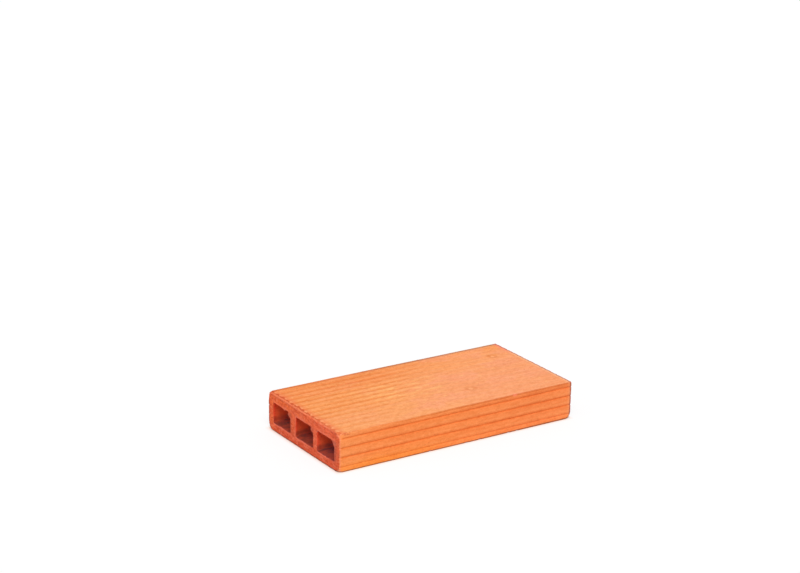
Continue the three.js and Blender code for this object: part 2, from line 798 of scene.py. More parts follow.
    def divide_length(self, column: bpy.types.Object) -> None:
        """Divides the long faces along the length, closer towards the cut ends.

        Args:
            column: The grooved column.
        """
        end_line, near_line = self.half - self.end_band, self.half - self.near_band
        stations = (-self.half, -end_line, -near_line, near_line, end_line, self.half)
        clear = 1 * MM
        Bench.slice(column, stations[1:-1], ALONG)
        for start, stop, cuts in zip(stations, stations[1:], self.band_cuts):
            middle = (start + stop) / 2
            Bench.pick_edges(
                column,
                lambda starts, stops: (np.abs(starts[:, X] - stops[:, X]) > clear)
                & (np.abs((starts[:, X] + stops[:, X]) / 2 - middle) < clear),
            )
            bpy.ops.mesh.subdivide(number_cuts=cuts)
            Bench.done()

    def cell_core(self, middle: float, pull: Triple) -> bpy.types.Object:
        """Makes the core that leaves one cell, with a rounded and ragged mouth at each end.

        Args:
            middle: Y of the cell's middle.
            pull: How far the near mouth is dragged, how much wider it is and how far its top has sunk.

        Returns:
            The core, longer than the brick.
        """
        section, mouth = self.section, self.mouth
        wide, high = section.cell_width, section.cell_height
        centre = Vector((0, middle, section.thickness / 2))
        reach = self.length + 2 * mouth.overrun
        core = Bench.block("cell_core", Vector((reach, wide, high)), centre)
        for side, fillet in ((1, section.cell_fillet), (-1, section.low_cell_fillet)):
            Bench.pick_edges(
                core,
                lambda starts, stops: self.full_length(starts, stops)
                & (side * (starts[:, Z] - centre.z) > 0),
            )
            bpy.ops.mesh.bevel(offset=fillet, segments=section.fillet_steps, affect="EDGES")
            Bench.done()
        for axis, place, lines in ((ACROSS, middle, self.lines_across), (UP, centre.z, self.lines_up)):
            Bench.slice(core, [place + i * self.core_spacing for i in range(-lines, lines + 1)], axis)
        Bench.pick_edges(core, self.full_length)
        bpy.ops.mesh.subdivide(number_cuts=self.cell_cuts)
        Bench.done()
        for inset, growth in mouth.steps:
            line = self.half - inset
            Bench.slice(core, (-line, line), ALONG)
            Bench.pick_points(core, np.abs(Bench.points(core)[:, X]) > line - mouth.slack)
            bpy.ops.transform.resize(
                value=(1, 1 + 2 * growth / wide, 1 + 2 * growth / high), center_override=centre
            )
            Bench.done()
        self.roughen_core(core)
        self.pull_mouth(core, centre, pull)
        self.drag_burrs(core)
        return core

    def roughen_core(self, core: bpy.types.Object) -> None:
        """Makes a core's walls wavy and its mouths ragged.

        Args:
            core: The core of one cell.
        """
        depths = self.half - np.abs(Bench.points(core)[:, X])
        torn = ease(depths, self.mouth.torn_reach, self.mouth.all_torn)
        Bench.weigh(core, self.mouth.wavy.group, 1 - torn)
        Bench.weigh(core, self.mouth.ragged.group, torn)
        self.mouth.wavy.press(core)
        self.mouth.ragged.press(core)
        core.vertex_groups.clear()

    def pull_mouth(self, core: bpy.types.Object, centre: Vector, pull: Triple) -> None:
        """Drags a core's near mouth over, widens it and lets its top sink.

        Args:
            core: The core of one cell.
            centre: Centre of the core.
            pull: How far the mouth is dragged, how much wider it is and how far its top has sunk.
        """
        section = self.section
        dragged, widened, sunk = pull
        soft = Bench.soft(self.mouth.pull_reach)
        outermost = self.mouth.slack - self.half
        Bench.pick_points(core, Bench.points(core)[:, X] < outermost)
        wider = 1 + widened / section.cell_width
        bpy.ops.transform.resize(value=(1, wider, 1), center_override=centre, **soft)
        bpy.ops.transform.translate(value=-dragged * ACROSS, **soft)
        Bench.done()
        points = Bench.points(core)
        top = points[:, Z] > centre.z + self.mouth.top_share * section.cell_height
        Bench.pick_points(core, (points[:, X] < outermost) & top)
        bpy.ops.transform.translate(value=-sunk * UP, **soft)
        Bench.done()

    def drag_burrs(self, core: bpy.types.Object) -> None:
        """Draws a core in at the near end where the wire has left clay in the mouth.

        Args:
            core: The core of one cell.
        """
        for burr in self.burrs:
            for depth in self.burr_depths:
                spot = (depth - self.half, burr.y, burr.z)
                gaps = np.linalg.norm(Bench.points(core) - np.array(spot), axis=1)
                if gaps.min() < self.burr_hold:
                    Bench.pull(core, spot, (0, *burr.push), burr.reach)

    def roughen(self, brick: bpy.types.Object) -> None:
        """Gives the skin its drag marks, the arrises their wear and the cut ends their tears.

        Args:
            brick: The brick with its cells open.
        """
        self.weigh_skin(brick)
        self.weigh_ends(brick)
        for relief in (*self.skin_reliefs, *self.wire_cut.reliefs()):
            relief.press(brick)
        self.sag(brick)
        brick.vertex_groups.clear()

    def weigh_skin(self, brick: bpy.types.Object) -> None:
        """Marks the points of the outer skin and of its four arrises, most at the upper ones.

        Args:
            brick: The brick with its cells open.
        """
        section = self.section
        points = Bench.points(brick)
        on_skin = section.on_skin(points)
        Bench.weigh(brick, "skin", on_skin.astype(float))
        out_side, out_bed = (np.clip(1 - depth / section.arris, 0, 1) for depth in section.depths(points))
        least = 0.01
        spread = np.maximum(out_side**2 + out_bed**2, least)
        upper = ease(points[:, Z], 0, section.thickness)
        Bench.weigh(brick, "arris", np.clip(2 * out_side * out_bed / spread, 0, 1) * on_skin * upper)

    def weigh_ends(self, brick: bpy.types.Object) -> None:
        """Marks the points that the cutting wire has moved, at each end.

        Args:
            brick: The brick with its cells open.
        """
        section, cut = self.section, self.wire_cut
        points = Bench.points(brick)
        near = points[:, X] < 0
        from_end = self.half - np.abs(points[:, X])
        give = ease(from_end, cut.give, 0)
        below_lip = ease(section.thickness - points[:, Z], cut.lip, cut.lip + cut.lip_step)
        dragged = cut.front_share + (1 - cut.front_share) * ease(points[:, Y], cut.front, cut.back)
        share = np.where(near, 1.0, cut.far_share)
        Bench.weigh(brick, "end_edge", ease(from_end, cut.edge_reach, 0) * section.on_skin(points) * share)
        Bench.weigh(brick, "near_end", give * near)
        Bench.weigh(brick, "far_end", give * ~near)
        Bench.weigh(brick, "near_recess", give * near * below_lip * dragged)

    def sag(self, brick: bpy.types.Object) -> None:
        """Lets the far corner at the back sag a little, as it did in the kiln.

        Args:
            brick: The roughened brick.
        """
        section = self.section
        points = Bench.points(brick)
        share = ease(points[:, X], 0, self.half) * ease(points[:, Y], self.sag_from, section.width / 2)
        Bench.weigh(brick, "sag", share * points[:, Z] / section.thickness)
        Bench.finish_with(
            brick,
            "DISPLACE",
            direction=Way.UPWARD.value,
            vertex_group="sag",
            strength=-self.corner_sag,
            mid_level=0.0,
        )

    def wear_corners(self, brick: bpy.types.Object) -> None:
        """Rounds off the worn corners.

        Args:
            brick: The brick with its cells open.
        """
        section = self.section
        for wear in self.worn:
            height = section.thickness * (1 + wear.upward) / 2
            corner = (wear.along * self.half, wear.across * section.width / 2, height)
            Bench.pull(brick, corner, wear.push, wear.reach)

    def raise_lime_pops(self, brick: bpy.types.Object) -> None:
        """Presses the lime craters into the upper bed face and raises their nubs.

        Args:
            brick: The roughened brick.
        """
        top = self.section.thickness
        for pop in self.pops:
            points = Bench.points(brick)
            on_top = points[:, Z] > top - self.crust
            Bench.pick_points(brick, (pop.apart(points) < self.pop_margin * pop.radius) & on_top)
            bpy.ops.mesh.subdivide(number_cuts=self.pop_cuts)
            Bench.done()
            middle, sunk = (pop.x, pop.y, top), pop.depth + pop.nub_height / 2
            Bench.pull(brick, middle, (0, 0, -sunk), pop.radius, grip=0, connected=True)
            Bench.pull(brick, middle, (0, 0, pop.nub_height), pop.nub, grip=0, connected=True)

    def true_up(self, brick: bpy.types.Object) -> None:
        """Brings the worn brick back to its full size, which its proudest points reach.

        Args:
            brick: The roughened brick.
        """
        section = self.section
        size = Vector((self.length, section.width, section.thickness))
        points = Bench.points(brick)
        low, high = Vector(points.min(axis=0)), Vector(points.max(axis=0))
        span = high - low
        Bench.pick_points(brick, np.ones(len(points), bool))
        bpy.ops.transform.translate(value=UP * section.thickness / 2 - (low + high) / 2)
        bpy.ops.transform.resize(
            value=[full / found for full, found in zip(size, span)],
            center_override=UP * section.thickness / 2,
        )
        Bench.done()

    def plan_chips(self) -> list[Chip]:
        """Places the chips: one knocked off the near upper corner, the rest along the edges.

        Returns:
            The chips, none touching another.
        """
        section = self.section
        draw = random.Random(self.seed)
        flank = section.width / 2 - section.arris_inset
        high_corner = Vector((-self.half, -flank, section.thickness - section.arris_inset))
        chips = [Chip(high_corner, Vector((-1, -1, 1)), *self.corner_chip)]
        while len(chips) < self.chip_count:
            chip = self.draw_chip(draw, on_arris=len(chips) % 2 == 0)
            clear = ((chip.centre - other.centre).length - chip.radius - other.radius for other in chips)
            if min(clear) > self.chip_gap:
                chips.append(chip)
        return chips

    def draw_chip(self, draw: random.Random, on_arris: bool) -> Chip:
        """Draws one chip by lot.

        Args:
            draw: The lot.
            on_arris: Whether it is on a rounded arris, or else on the edge of a cut end.

        Returns:
            The chip.
        """
        section = self.section
        flank = section.width / 2
        x_side, y_side, z_side = (draw.choice((-1, 1)) for _ in range(3))
        level = section.thickness if z_side > 0 else 0.0
        radius = draw.uniform(*self.chip_radii) * MM
        depth = draw.uniform(*self.chip_depths) * MM
        if on_arris:
            outward = Vector((0, y_side, z_side)).normalized()
            along = draw.uniform(-self.chips_along, self.chips_along) * self.half
            edge = Vector((along, y_side * flank, level))
            return Chip(edge - outward * section.arris_inset, outward, radius, depth)
        outward = Vector((x_side, 0, z_side)).normalized()
        across = draw.uniform(-self.chips_across, self.chips_across) * flank
        edge = Vector((x_side * self.half, across, level))
        return Chip(edge, outward, radius, depth)

    def chip_ball(self, chip: Chip) -> bpy.types.Object:
        """Makes the lumpy ball that knocks out one chip.

        Args:
            chip: The chip.

        Returns:
            The ball, in its place.
        """
        Bench.clear()
        shape = {"subdivisions": self.ball_steps, "radius": chip.radius, "location": chip.centre}
        bpy.ops.mesh.primitive_ico_sphere_add(**shape)
        ball = Bench.settle("chip_ball")
        Bench.weigh(ball, self.chip_break.group, np.ones(len(ball.data.vertices)))
        self.chip_break.press(ball)
        ball.vertex_groups.clear()
        return ball

    def mark(self, brick: bpy.types.Object, chips: list[Chip]) -> None:
        """Writes where the grooves and the broken places are, for the finish to follow.

        Args:
            brick: The brick before its wear.
            chips: The chips knocked out of it.
        """
        points = Bench.points(brick)
        self.write_mark(brick, "groove", self.groove_share(points, self.groove_shift))
        # The flank mark places the painted highlight on the shaded flank of each bed groove.
        self.write_mark(brick, "flank", self.groove_share(points, self.lit_flank_shift))
        self.write_mark(brick, "fresh", np.max([chip.bared(points) for chip in chips], axis=0))

    def groove_share(self, points: np.ndarray, shift: float) -> np.ndarray:
        """Tells how near to a groove's middle each point of the skin lies.

        Args:
            points: The brick's points.
            shift: How far the middle is taken to lie towards +Y on the bed faces.

        Returns:
            1 at the middle of a groove and 0 on the ribs, the ends and in the cells.
        """
        section = self.section
        from_side, from_bed = section.depths(points)
        on_bed = (from_bed < section.bed.depth + section.under_root) & (from_side > section.arris)
        on_side = (from_side < section.side.depth + section.under_root) & (from_bed > section.arris)
        in_bed = section.bed.darkness(points[:, Y], section.bed_grooves() + shift)
        in_side = section.side.darkness(points[:, Z], section.side_grooves())
        return np.where(on_bed, in_bed, np.where(on_side, in_side, 0.0))

    def mark_pops(self, brick: bpy.types.Object) -> None:
        """Writes the pale nubs of the lime craters and the dark rings around them.

        Args:
            brick: The brick with its craters raised.
        """
        points = Bench.points(brick)
        on_top = points[:, Z] > self.section.thickness - self.crust
        nub, crater = np.max([pop.shares(points) for pop in self.pops], axis=0) * on_top
        self.write_mark(brick, "nub", nub)
        self.write_mark(brick, "ring", np.clip(crater - nub, 0, 1))

    @staticmethod
    def write_mark(brick: bpy.types.Object, mark_name: str, values: np.ndarray) -> None:
        """Writes one number for each point under a name that the finish reads.

        Args:
            brick: The piece.
            mark_name: Name of the attribute.
            values: One number for each point.
        """
        attribute = brick.data.attributes.new(mark_name, "FLOAT", "POINT")
        attribute.data.foreach_set("value", values.astype(np.float32))

    def smooth(self, brick: bpy.types.Object) -> None:
        """Shades the clay smooth and keeps its broken edges sharp."""
        Bench.take(brick)
        bpy.ops.object.shade_smooth_by_angle(angle=math.radians(self.sharp_angle))


Socket = bpy.types.NodeSocket


@dataclass(frozen=True)
class Pattern:
    """A cloud pattern in the clay, and the stretch of it that shows.

    The lump is the size of one lump along X, Y and Z in millimetres, the seed keeps two patterns
    from being alike, and the folds give the finer detail. The clouds run from about 0.3 to 0.7.
    Where they are at start the pattern shows low, and at stop it shows high.
    """

    lump: Triple
    seed: float
    start: float = 0.3
    stop: float = 0.7
    low: float = 0.0
    high: float = 1.0
    folds: float = 3


@dataclass(frozen=True)
class Span:
    """A stretch of a distance, in millimetres, over which a share runs from low to high."""

    start: float
    stop: float
    low: float = 0.0
    high: float = 1.0


class Wiring:
    """Lays out and joins the nodes of one material or of the surround."""

    FIRST_COLOUR = 6
    SECOND_COLOUR = 7
    MIXED_COLOUR = 2
    SEED_STEPS = (1.0, 1.7, 2.3)
    CLOUDS_MIDDLE = 0.5

    def __init__(self, owner: bpy.types.ID) -> None:
        """Starts with no nodes.

        Args:
            owner: The new material or surround that the nodes are for.
        """
        owner.use_nodes = True
        self.owner = owner
        self.tree = owner.node_tree
        self.tree.nodes.clear()

    @cached_property
    def place(self) -> bpy.types.Node:
        """The node that tells where a point lies on its piece."""
        return self.add("ShaderNodeTexCoord")

    def add(self, kind: str, **settings: object) -> bpy.types.Node:
        """Adds a node.

        Args:
            kind: The kind of node.
            settings: The node's settings by name.

        Returns:
            The node.
        """
        node = self.tree.nodes.new(kind)
        for key, value in settings.items():
            setattr(node, key, value)
        return node

    def feed(self, target: Socket, source: object) -> None:
        """Joins a socket to another, or sets a plain value on it.

        Args:
            target: The socket to feed.
            source: A socket or a plain value.
        """
        if isinstance(source, bpy.types.NodeSocket):
            self.tree.links.new(source, target)
        else:
            target.default_value = source

    def feed_all(self, node: bpy.types.Node, *sources: object) -> Socket:
        """Feeds a node's sockets in their order.

        Args:
            node: The node.
            sources: Sockets or plain values, the first for the node's first socket.

        Returns:
            The socket of the node's first result.
        """
        for target, source in zip(node.inputs, sources):
            self.feed(target, source)
        return node.outputs[0]

    def math(self, operation: str, *numbers: object) -> Socket:
        """Does one sum on numbers or sockets."""
        return self.feed_all(self.add("ShaderNodeMath", operation=operation), *numbers)

    def both(self, *factors: object) -> Socket:
        """Multiplies all factors."""
        return reduce(lambda product, factor: self.math("MULTIPLY", product, factor), factors)

    def most(self, *values: object) -> Socket:
        """Gives the greatest of all values."""
        return reduce(lambda greatest, value: self.math("MAXIMUM", greatest, value), values)

    def rest(self, share: Socket) -> Socket:
        """Gives what a share leaves of 1."""
        return self.math("SUBTRACT", 1.0, share)

    def wrap(self, value: Socket, period: float) -> Socket:
        """Brings a distance into the one period about 0 that it repeats with."""
        return self.math("WRAP", value, period / 2, -period / 2)

    def ramp(self, value: object, start: float, stop: float, low: float = 0.0, high: float = 1.0) -> Socket:
        """Turns the stretch from start to stop into a soft S from low to high.

        Args:
            value: Socket to read.
            start: Value that gives low.
            stop: Value that gives high.
            low: Result at start.
            high: Result at stop.

        Returns:
            The socket of the result.
        """
        node = self.add("ShaderNodeMapRange", interpolation_type="SMOOTHSTEP")
        return self.feed_all(node, value, start, stop, low, high)

    def within(self, length: Socket, span: Span) -> Socket:
        """Gives the share of a span that a length has come to."""
        return self.ramp(length, span.start * MM, span.stop * MM, span.low, span.high)

    def clouds(self, pattern: Pattern) -> Socket:
        """Gives the whole clouds of a pattern.

        Args:
            pattern: The pattern, of which the lump, seed and folds are read.

        Returns:
            The socket of the clouds, about 0.3 to 0.7.
        """
        mapping = self.add("ShaderNodeMapping")
        self.feed(mapping.inputs["Vector"], self.place.outputs["Object"])
        self.feed(mapping.inputs["Scale"], [1 / (size * MM) for size in pattern.lump])
        self.feed(mapping.inputs["Location"], [step * pattern.seed for step in self.SEED_STEPS])
        noise = self.add("ShaderNodeTexNoise")
        self.feed(noise.inputs["Vector"], mapping.outputs[0])
        self.feed(noise.inputs["Scale"], 1.0)
        self.feed(noise.inputs["Detail"], pattern.folds)
        return noise.outputs[0]

    def show(self, pattern: Pattern) -> Socket:
        """Gives the stretch of a pattern that shows, as a share."""
        return self.ramp(self.clouds(pattern), pattern.start, pattern.stop, pattern.low, pattern.high)

    def mix(self, way: str, factor: object, first: object, second: object) -> Socket:
        """Mixes two colours.

        Args:
            way: Blender's name of the way to mix.
            factor: Share of the second colour.
            first: Socket or colour.
            second: Socket or colour.

        Returns:
            The socket of the mixed colour.
        """
        node = self.add("ShaderNodeMix", data_type="RGBA", blend_type=way)
        self.feed(node.inputs["Factor"], factor)
        self.feed(node.inputs[self.FIRST_COLOUR], first)
        self.feed(node.inputs[self.SECOND_COLOUR], second)
        return node.outputs[self.MIXED_COLOUR]

    def blend(self, factor: object, first: object, second: object) -> Socket:
        """Lays a share of the second colour over the first."""
        return self.mix("MIX", factor, first, second)

    def deepen(self, factor: object, colour: object, tint: Colour) -> Socket:
        """Darkens a colour by multiplying it with a share of a tint."""
        return self.mix("MULTIPLY", factor, colour, tint)

    def mark(self, mark_name: str) -> Socket:
        """Reads a number that the piece carries on its points."""
        return self.add("ShaderNodeAttribute", attribute_name=mark_name).outputs["Fac"]


@dataclass(frozen=True)
class Lie:
    """Where a point of the clay lies, as sockets that the colours read.

    The socket in_row gives how far it lies from the middle of the nearest cell across the width,
    and over_groove how far above the light line that runs over each groove of the narrow sides.
    """

    CREST_OVER_GROOVE = 3.5 * MM
    PULL_FADES = 0.7

    x: Socket
    y: Socket
    z: Socket
    up: Socket
    endward: Socket
    in_row: Socket
    over_groove: Socket
    from_top: Socket
    from_near: Socket
    from_far: Socket
    from_end: Socket
    from_left: Socket
    from_right: Socket
    from_arris: Socket
    from_skin: Socket

    @classmethod
    def read(cls, wiring: Wiring, maker: ClayBrick) -> "Lie":
        """Works the distances out from the brick's own coordinates.

        Args:
            wiring: The material to read them in.
            maker: What the brick was made to.

        Returns:
            The sockets.
        """
        section, half = maker.section, maker.half
        parts = wiring.add("ShaderNodeSeparateXYZ")
        wiring.feed(parts.inputs[0], wiring.place.outputs["Object"])
        facing = wiring.add("ShaderNodeSeparateXYZ")
        wiring.feed(facing.inputs[0], wiring.place.outputs["Normal"])
        x, y, z = parts.outputs
        flank = section.width / 2
        from_top = wiring.math("SUBTRACT", section.thickness, z)
        from_near = wiring.math("ADD", x, half)
        from_far = wiring.math("SUBTRACT", half, x)
        from_left = wiring.math("SUBTRACT", flank, y)
        from_right = wiring.math("ADD", y, flank)
        from_side = wiring.math("MINIMUM", from_left, from_right)
        from_bed = wiring.math("MINIMUM", z, from_top)
        fades = cls.PULL_FADES * half
        dragged = wiring.ramp(x, -fades, fades, maker.mouth.mean_pull, 0.0)
        crest = float(section.side_grooves()[0] + cls.CREST_OVER_GROOVE)
        return cls(
            x=x,
            y=y,
            z=z,
            up=facing.outputs[2],
            endward=wiring.math("ABSOLUTE", facing.outputs[0]),
            in_row=wiring.wrap(wiring.math("ADD", y, dragged), section.cell_width + section.web),
            over_groove=wiring.wrap(wiring.math("SUBTRACT", z, crest), section.side.pitch),
            from_top=from_top,
            from_near=from_near,
            from_far=from_far,
            from_end=wiring.math("MINIMUM", from_near, from_far),
            from_left=from_left,
            from_right=from_right,
            from_arris=wiring.math("MAXIMUM", from_top, from_side),
            from_skin=wiring.math("MINIMUM", from_side, from_bed),
        )


@dataclass(frozen=True)
class FiredClay:
    """Rough fired clay: yellowish grooved skin, redder torn ends and dull red cells. These colours are
    partly the clay's own and partly painted light: the paler bed faces carry a painted sheen, and the
    redder ends and the dark red cells carry painted shade.

    The colours come first, then the tints that darken a colour and the patterns that both
    follow. Then come the spans that bound them, each named after what it is measured along: a
    length along X, a width along Y, a height along Z, a reach from an edge or a face, or a depth
    under the top or into a cell. A stretch that starts and ends has a span from and a span to.
    Last come the plain shares and the heights of the fine grain.
    """

    name: str = "fired_clay"
    bed: Colour = shown(253, 168, 103)
    bed_front: Colour = shown(254, 173, 113)
    # Darker back of the bed faces: partly the clay's own tone, partly a painted shadow.
    bed_back_tone_and_shade: Colour = shown(252, 158, 96)
    bed_bloom: Colour = shown(252, 166, 116)
    bed_pink: Colour = shown(253, 166, 127)
    bed_ochre: Colour = shown(238, 146, 76)
    # Pale bloom at the far edge, and also the painted highlight on the shaded groove flanks.
    bloom_and_painted_light: Colour = shown(255, 198, 150)
    side: Colour = shown(254, 148, 81)
    side_far: Colour = shown(252, 145, 83)
    side_yellow: Colour = shown(251, 149, 61)
    side_light: Colour = shown(255, 170, 108)
    # Painted highlight on the rounded near vertical edges.
    near_edge_highlight: Colour = shown(255, 150, 112)
    end: Colour = shown(250, 111, 67)
    end_pink: Colour = shown(254, 114, 80)
    end_warm: Colour = shown(255, 119, 62)
    end_low: Colour = shown(235, 102, 66)
    end_pale: Colour = shown(250, 135, 102)
    end_edge: Colour = shown(230, 98, 57)
    end_red: Colour = shown(226, 86, 50)
    # Pale lip: partly paler dragged clay, partly a painted highlight.
    lip: Colour = shown(250, 136, 94)
    dragged: Colour = shown(236, 120, 74)
    drag_line: Colour = shown(204, 84, 42)
    rib_end: Colour = shown(255, 176, 122)
    # Painted highlight on the lower and left rims of the mouths.
    rim: Colour = shown(248, 124, 98)
    cell: Colour = shown(240, 88, 52)
    cell_deep: Colour = shown(232, 74, 42)
    # Paler colour deep in the cells: painted light.
    cell_inner: Colour = shown(255, 107, 61)
    cell_ash: Colour = shown(131, 55, 41)
    cell_ash_inner: Colour = shown(192, 124, 122)
    cell_mauve: Colour = shown(124, 57, 50)
    cell_mauve_inner: Colour = shown(184, 125, 140)
    lime: Colour = shown(255, 196, 124)
    lime_nub: Colour = shown(255, 182, 128)
    speck: Colour = shown(206, 96, 56)

    deeper: Colour = (0.85, 0.70, 0.54, 1.0)
    scored: Colour = (0.86, 0.60, 0.36, 1.0)
    arris_dark: Colour = (0.76, 0.62, 0.50, 1.0)
    gritty: Colour = (0.82, 0.68, 0.56, 1.0)
    # Tint of painted shade, on the right rims of the mouths and on the near top edge behind the corner.
    painted_shade_tint: Colour = (0.6, 0.66, 0.78, 1.0)
    # Tint that darkens the outermost edges.
    outer_edge_tint: Colour = (0.62, 0.66, 0.84, 1.0)
    # Tint of the painted contact shadow along the foot.
    contact_shadow_tint: Colour = (0.42, 0.42, 0.44, 1.0)

    bed_wander: Pattern = Pattern((70, 40, 40), 2.6)
    bed_blush: Pattern = Pattern((34, 20, 20), 12.4, 0.5, 0.66, folds=2)
    bed_stain: Pattern = Pattern((55, 5, 5), 19.2, 0.46, 0.62, high=0.6)
    bed_streaks: Pattern = Pattern((90, 3, 3), 7.3, 0.4, 0.66, high=0.2)
    groove_gaps: Pattern = Pattern((45, 9, 9), 21.4, 0.36, 0.6, low=0.62, folds=2)
    side_patches: Pattern = Pattern((60, 60, 14), 5.2, 0.4, 0.6, low=0.35)
    side_streaks: Pattern = Pattern((70, 4, 2.4), 11.6, 0.42, 0.66, high=0.3)
    mottle: Pattern = Pattern((6, 4, 2.6), 14.2, 0.42, 0.62)
    freckles: Pattern = Pattern((1.9, 1.5, 1.5), 31.7, 0.42, 0.6, high=0.34, folds=2)
    broad_spots: Pattern = Pattern((20, 15, 9), 33.1, 0.46, 0.6, folds=2)
    specks: Pattern = Pattern((1.8, 1.4, 1.4), 6.1, 0.66, 0.76, high=0.6, folds=2)
    knocks: Pattern = Pattern((4, 3, 3), 38.4, 0.46, 0.56, high=0.7, folds=2)
    ragged_edge: Pattern = Pattern((5, 3.2, 3.2), 15.3, low=-1.1 * MM, high=1.1 * MM)
    lip_gaps: Pattern = Pattern((5, 7, 5), 27.3, 0.36, 0.6, low=0.3, folds=2)
    lime_dashes: Pattern = Pattern((11, 3, 3), 9.7, 0.44, 0.62, high=0.6)
    lime_flecks: Pattern = Pattern((4, 1.8, 1.8), 17.9, 0.64, 0.72, high=0.5, folds=2)
    end_fray: Pattern = Pattern((2.5, 2.5, 2.5), 4.1)
    end_patches: Pattern = Pattern((20, 14, 9), 1.9, 0.46, 0.66, high=0.5)
    end_streaks: Pattern = Pattern((8, 10, 1.8), 8.8, 0.46, 0.62, high=0.65)
    crumbs: Pattern = Pattern((4, 5, 3), 13.7, 0.54, 0.64, high=0.5)
    grit: Pattern = Pattern((2.6, 2.8, 2.0), 29.1, 0.42, 0.58, folds=2)
    end_pits: Pattern = Pattern((2.8, 3.0, 2.2), 23.1, 0.55, 0.63, high=0.85)
    cell_patches: Pattern = Pattern((50, 12, 12), 4.9, 0.42, 0.62)
    cell_grime: Pattern = Pattern((3.4, 2.6, 2.6), 36.2, 0.44, 0.6)
    cell_stain: Pattern = Pattern((12, 5, 3), 25.6, 0.4, 0.6, low=0.75)
    grain: Pattern = Pattern((0.9, 0.9, 0.9), 1.3, folds=4)
    drag_grain: Pattern = Pattern((22, 0.9, 0.9), 2.9)
    torn_grain: Pattern = Pattern((6, 5, 0.9), 3.7, folds=4)
    pinholes: Pattern = Pattern((1.8, 1.8, 1.8), 5.5, 0.3, 0.2, high=0.3, folds=1)

    cell_reach: Span = Span(4, 6)
    torn_end_reach: Span = Span(0.7, 0.1)
    bed_far_length: Span = Span(-60, 60)
    bed_back_width: Span = Span(15, 60)
    bed_front_width: Span = Span(10, -50)
    bloom_width: Span = Span(60, 0)
    blush_length: Span = Span(-90, -10, 0.15, 0.5)
    stain_length: Span = Span(50, -40)
    scored_width: Span = Span(-60, -10, 0.56, 0.76)
    scored_length: Span = Span(50, -90)
    lit_flank_length: Span = Span(-40, 40, 0.15, 1.0)
    side_far_length: Span = Span(-60, 130)
    yellow_height: Span = Span(18, 0)
    yellow_length: Span = Span(60, -120)
    side_light_length: Span = Span(-90, -130, 0.0, 0.2)
    crest_reach: Span = Span(1.5, 0.5, 0.0, 0.2)
    topmost_depth: Span = Span(4.4, 3.4, 0.0, 0.3)
    topmost_length: Span = Span(-20, 40)
    side_line_height: Span = Span(7, 12, 0.2, 0.8)
    side_line_from: Span = Span(1, 5)
    near_edge_highlight_reach: Span = Span(3.8, 2.0, 0.0, 0.55)
    mottle_length: Span = Span(-20, 70, 0.42, 0.36)
    spots_length: Span = Span(-20, 60, 0.0, 0.16)
    arris_dark_reach: Span = Span(1.8, 1.1)
    arris_dark_length: Span = Span(-140, 0, 0.35, 1.0)
    knocked_reach: Span = Span(2.8, 1.6)
    knocked_end_reach: Span = Span(26, 12)
    pale_reach: Span = Span(5.5, 2.0, 0.0, 0.45)
    bare_width: Span = Span(25, 52)
    bare_reach: Span = Span(6.0, 3.6)
    dragged_reach: Span = Span(13, 2.5)
    rib_end_from: Span = Span(3.2, 4.0)
    rib_end_to: Span = Span(6.6, 5.2)
    rib_end_width: Span = Span(15, 50, 0.6, 0.3)
    drag_line_to: Span = Span(0.4, -0.6)
    drag_line_from: Span = Span(1.4, 2.0)
    drag_line_width: Span = Span(-50, 5, 0.4, 0.85)
    lip_reach: Span = Span(1.8, 1.1)
    lip_width: Span = Span(-62, -34, 0.1, 1.0)
    dashes_from: Span = Span(-95, -45)
    dashes_to: Span = Span(40, 0)
    dashes_front: Span = Span(-34, -6)
    dashes_back: Span = Span(34, 14)
    end_pink_width: Span = Span(15, -45)
    end_low_height: Span = Span(22, 6)
    end_warm_height: Span = Span(27, 33)
    end_warm_width: Span = Span(-30, 40, 0.3, 1.0)
    end_warm_reach: Span = Span(16, 8, 0.0, 0.6)
    end_pale_reach: Span = Span(8, 16, 0.3, 1.0)
    end_edge_reach: Span = Span(9, 4, 0.0, 0.75)
    grit_height: Span = Span(10, 32, 0.65, 0.55)
    foot_height: Span = Span(5, 1.5, 0.0, 0.5)
    lip_depth: Span = Span(1.5, 0.3)
    lip_shade_from: Span = Span(0.9, 1.7)
    lip_shade_to: Span = Span(3.0, 2.2)
    rim_reach: Span = Span(2.0, 1.1)
    cell_inner_depth: Span = Span(1, 7)
    cell_grime_depth: Span = Span(3, 14, 0.6, 0.1)
    ash_inner_depth: Span = Span(3, 30)
    mauve_width: Span = Span(-10, -36)
    ash_height: Span = Span(17, 11.5, 0.0, 0.7)
    corner_highlight_reach: Span = Span(6.5, 4.5, 0.0, 0.7)
    edge_shade_depth: Span = Span(2.4, 1.2)
    edge_shade_reach: Span = Span(1.6, 0.8)
    edge_shade_width: Span = Span(-40, -54)
    edge_shade_from: Span = Span(4.5, 6.5)
    dark_back_reach: Span = Span(5.0, 2.6)
    dark_back_length: Span = Span(-80, 40, 0.4, 1.0)
    dark_far_reach: Span = Span(2.8, 1.4, 0.0, 0.9)
    dark_near_reach: Span = Span(2.6, 1.0)
    dark_near_height: Span = Span(14, 8, 0.1, 0.8)
    contact_shadow_rise_length: Span = Span(20, 120, 0.0, 0.4 * MM)
    contact_shadow_height: Span = Span(1.8, 0.7)

